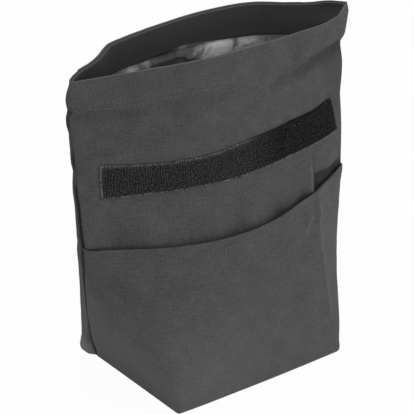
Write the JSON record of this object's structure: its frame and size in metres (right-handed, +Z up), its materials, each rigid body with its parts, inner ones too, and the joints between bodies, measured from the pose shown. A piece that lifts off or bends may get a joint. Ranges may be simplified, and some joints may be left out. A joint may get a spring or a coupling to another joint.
{
  "type": "film pouch",
  "caption": "Soft canvas film pouch with a boxed base, silvered lining, roll-down top that closes on a hook strip, and a full-width patch pocket across the front.",
  "frame": {"origin": "centre of the flat underside of the base", "axes": "+Z up out of the mouth, -Y the front with the hook strip and the pocket, +X to the right seen from the front"},
  "size_m": [0.2622, 0.1367, 0.27],
  "materials": {
    "canvas": "matte woven",
    "lining": "silvered, crinkled",
    "facing": "matte woven",
    "hook": "bristled",
    "loop": "napped",
    "thread": "matte",
    "dark_thread": "matte",
    "board": "matte"
  },
  "bodies": {
    "bag_body": {"base_panel": "canvas", "base_board": "board", "base_lining": "lining", "front_panel": "canvas", "front_lining": "lining", "back_panel": "canvas", "back_lining": "lining", "left_seam_binding": "facing", "right_seam_binding": "facing", "hook_tape": "hook", "hook_tape_stitching": "dark_thread"},
    "back_wall": {"back_panel_upper": "canvas", "back_lining_upper": "lining"},
    "roll_band": {"front_roll": "canvas", "back_roll": "canvas", "front_roll_lining": "lining", "back_roll_lining": "lining"},
    "hem_band": {"front_hem": "canvas", "back_hem": "canvas", "front_facing": "facing", "back_facing": "facing", "loop_tape": "loop", "loop_tape_stitching": "dark_thread", "front_hem_stitching": "thread"},
    "pocket": {"pocket_panel": "canvas", "pocket_hem": "canvas", "pocket_stitching": "thread"}
  },
  "joints": [
    {"name": "top_roll", "type": "hinge", "parent": "bag_body", "child": "roll_band", "pos_m": [0, -0.046, 0.208], "axis": [1, 0, 0], "range_deg": [0, 180], "deforming": ["front_roll", "back_roll", "front_roll_lining", "back_roll_lining"]},
    {"name": "hem_roll", "type": "hinge", "parent": "roll_band", "child": "hem_band", "pos_m": [0, -0.0425, 0.244], "axis": [1, 0, 0], "range_deg": [0, 180], "deforming": ["front_hem", "back_hem", "front_facing", "back_facing", "loop_tape", "loop_tape_stitching", "front_hem_stitching"]},
    {"name": "mouth_close", "type": "slide", "parent": "bag_body", "child": "back_wall", "axis": [0, -1, 0], "range_m": [0, 0.1], "deforming": ["back_panel_upper", "back_lining_upper"]},
    {"name": "pocket_open", "type": "hinge", "parent": "bag_body", "child": "pocket", "pos_m": [0, -0.0655, 0.001], "axis": [1, 0, 0], "range_deg": [0, 12], "deforming": ["pocket_panel", "pocket_hem", "pocket_stitching"]}
  ],
  "couplings": [
    {"joint": "hem_roll", "follows": "top_roll", "ratio": 1},
    {"joint": "mouth_close", "follows": "top_roll", "m_per_rad": 0.03183}
  ]
}
